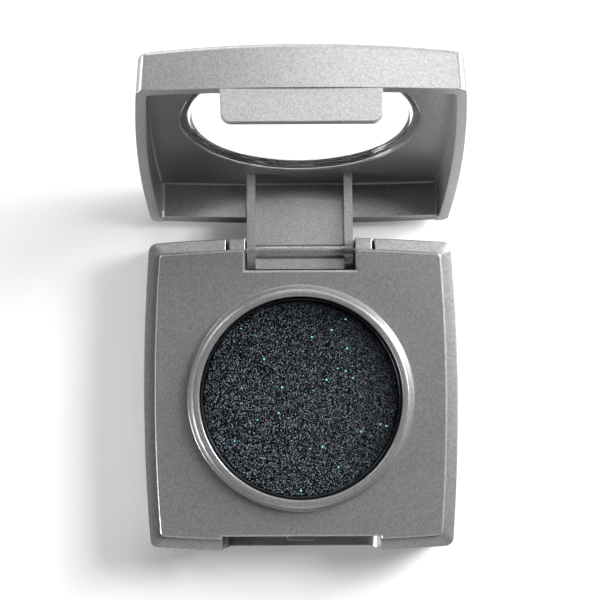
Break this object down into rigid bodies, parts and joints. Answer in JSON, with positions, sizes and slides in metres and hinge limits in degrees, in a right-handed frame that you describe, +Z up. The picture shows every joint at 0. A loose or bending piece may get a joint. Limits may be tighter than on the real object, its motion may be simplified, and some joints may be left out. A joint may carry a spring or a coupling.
{
  "type": "eyeshadow compact",
  "caption": "Square powder compact with bowed sides: round pan in a raised collar, and a windowed flap lid on a pinned hinge with a front latch tab.",
  "frame": {"origin": "centre of the underside of the base", "axes": "+Z up from the underside, +Y to the back where the hinge is, +X to the right seen from the front"},
  "size_m": [0.04, 0.0612, 0.0408],
  "materials": {
    "silver_plastic": "satin metallic",
    "clear_plastic": "polished clear plastic",
    "pan_metal": "satin",
    "pin_steel": "polished",
    "powder": "pressed powder with glitter",
    "glue": "matte",
    "label_film": "matte"
  },
  "bodies": {
    "base": {"base_shell": "silver_plastic", "deck_insert": "silver_plastic", "metal_pan": "pan_metal", "powder_cake": "powder", "pan_adhesive": "glue", "base_label": "label_film"},
    "lid": {"lid_shell": "silver_plastic", "window_lens": "clear_plastic", "hinge_pin": "pin_steel"}
  },
  "joints": [
    {"name": "lid_hinge", "type": "hinge", "parent": "base", "child": "lid", "pos_m": [0, 0.0184, 0.0051], "axis": [-1, 0, 0], "range_deg": [-110, 0]}
  ]
}
